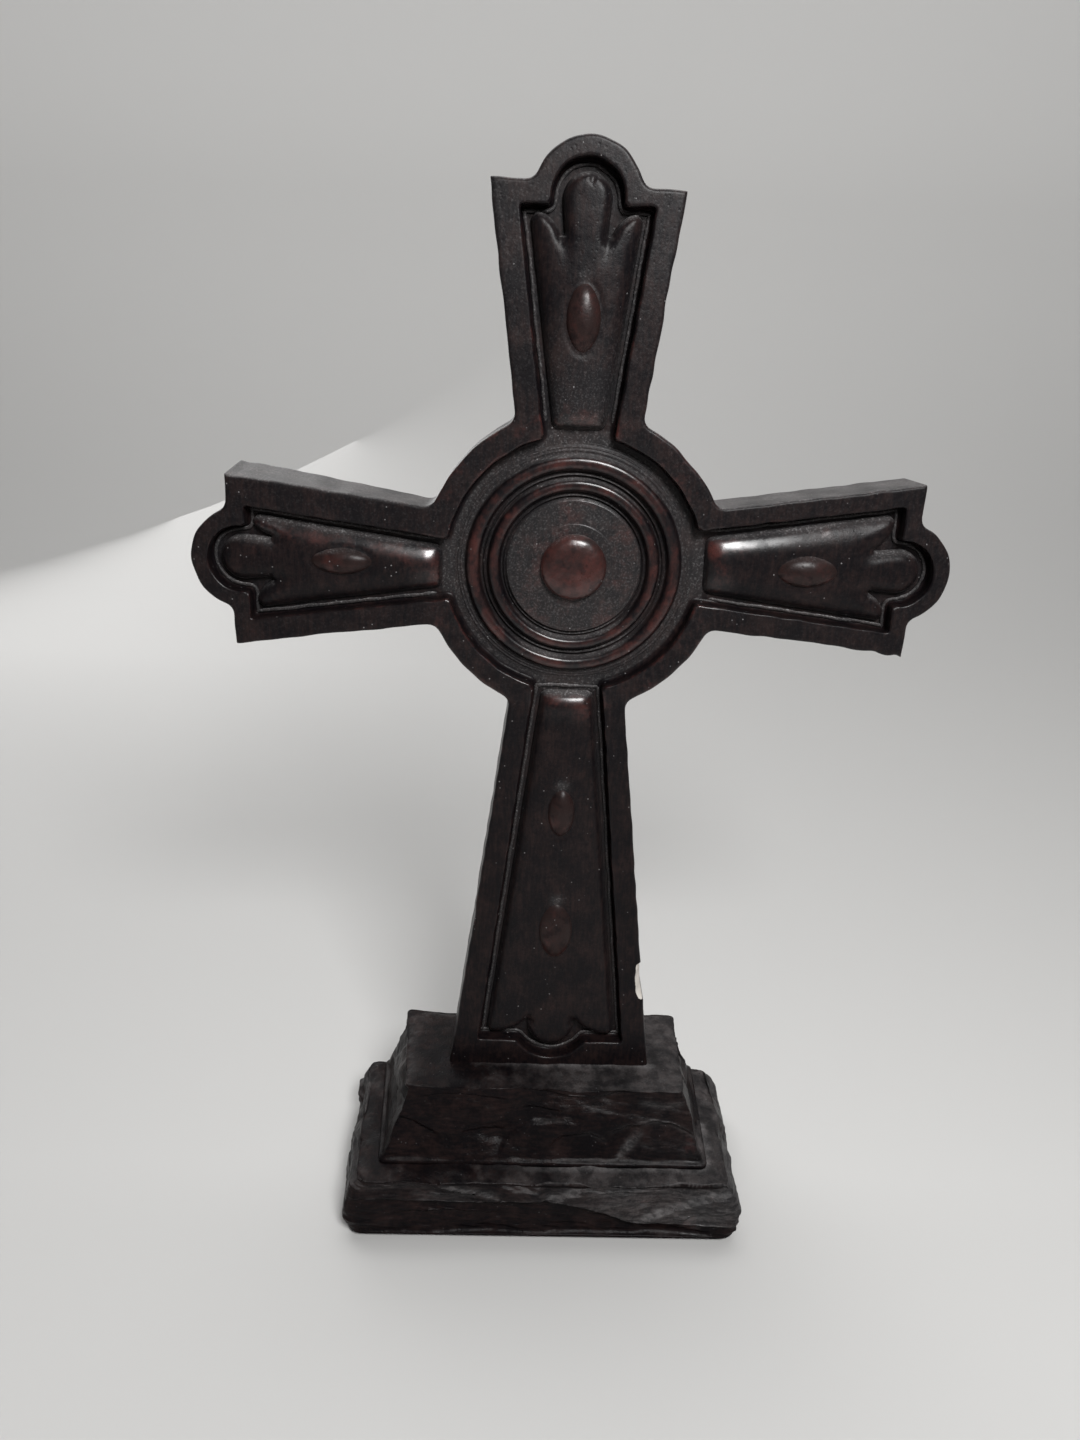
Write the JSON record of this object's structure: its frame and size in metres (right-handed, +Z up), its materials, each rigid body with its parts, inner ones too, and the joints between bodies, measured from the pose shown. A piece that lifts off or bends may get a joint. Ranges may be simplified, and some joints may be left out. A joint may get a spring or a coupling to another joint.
{
  "type": "standing cross",
  "caption": "Free-standing cast cross with flared trefoil arms, raised panels, oval studs and a ringed centre medallion, on a two-tier rock-cut plinth.",
  "frame": {"origin": "on the table, in the middle of the space that the whole cross takes", "axes": "+Z up, the carved front faces -Y, +X to the right of someone who looks at the front"},
  "size_m": [0.1396, 0.0414, 0.21],
  "materials": {
    "cast_body": "cast resin, near-black brown satin, dusty in its recesses",
    "rubbed_red": "cast resin, rubbed to a red brown",
    "rock_plinth": "cast resin, rough as split rock, dusty",
    "steel": "plain zinc-plated",
    "brass": "turned",
    "felt": "black felt"
  },
  "bodies": {
    "root": {"cross_body": "cast_body", "medallion": "cast_body", "centre_boss": "rubbed_red", "panel_top": "cast_body", "panel_left": "cast_body", "panel_right": "cast_body", "panel_post": "cast_body", "stud_top": "rubbed_red", "stud_left": "rubbed_red", "stud_right": "rubbed_red", "stud_post_upper": "rubbed_red", "stud_post_lower": "rubbed_red", "plinth_lower": "rock_plinth", "plinth_upper": "rock_plinth", "tie_bolt": "steel", "tie_washer": "steel", "threaded_insert": "brass", "tier_pin_left": "steel", "tier_pin_right": "steel", "felt_pad": "felt"}
  },
  "joints": []
}
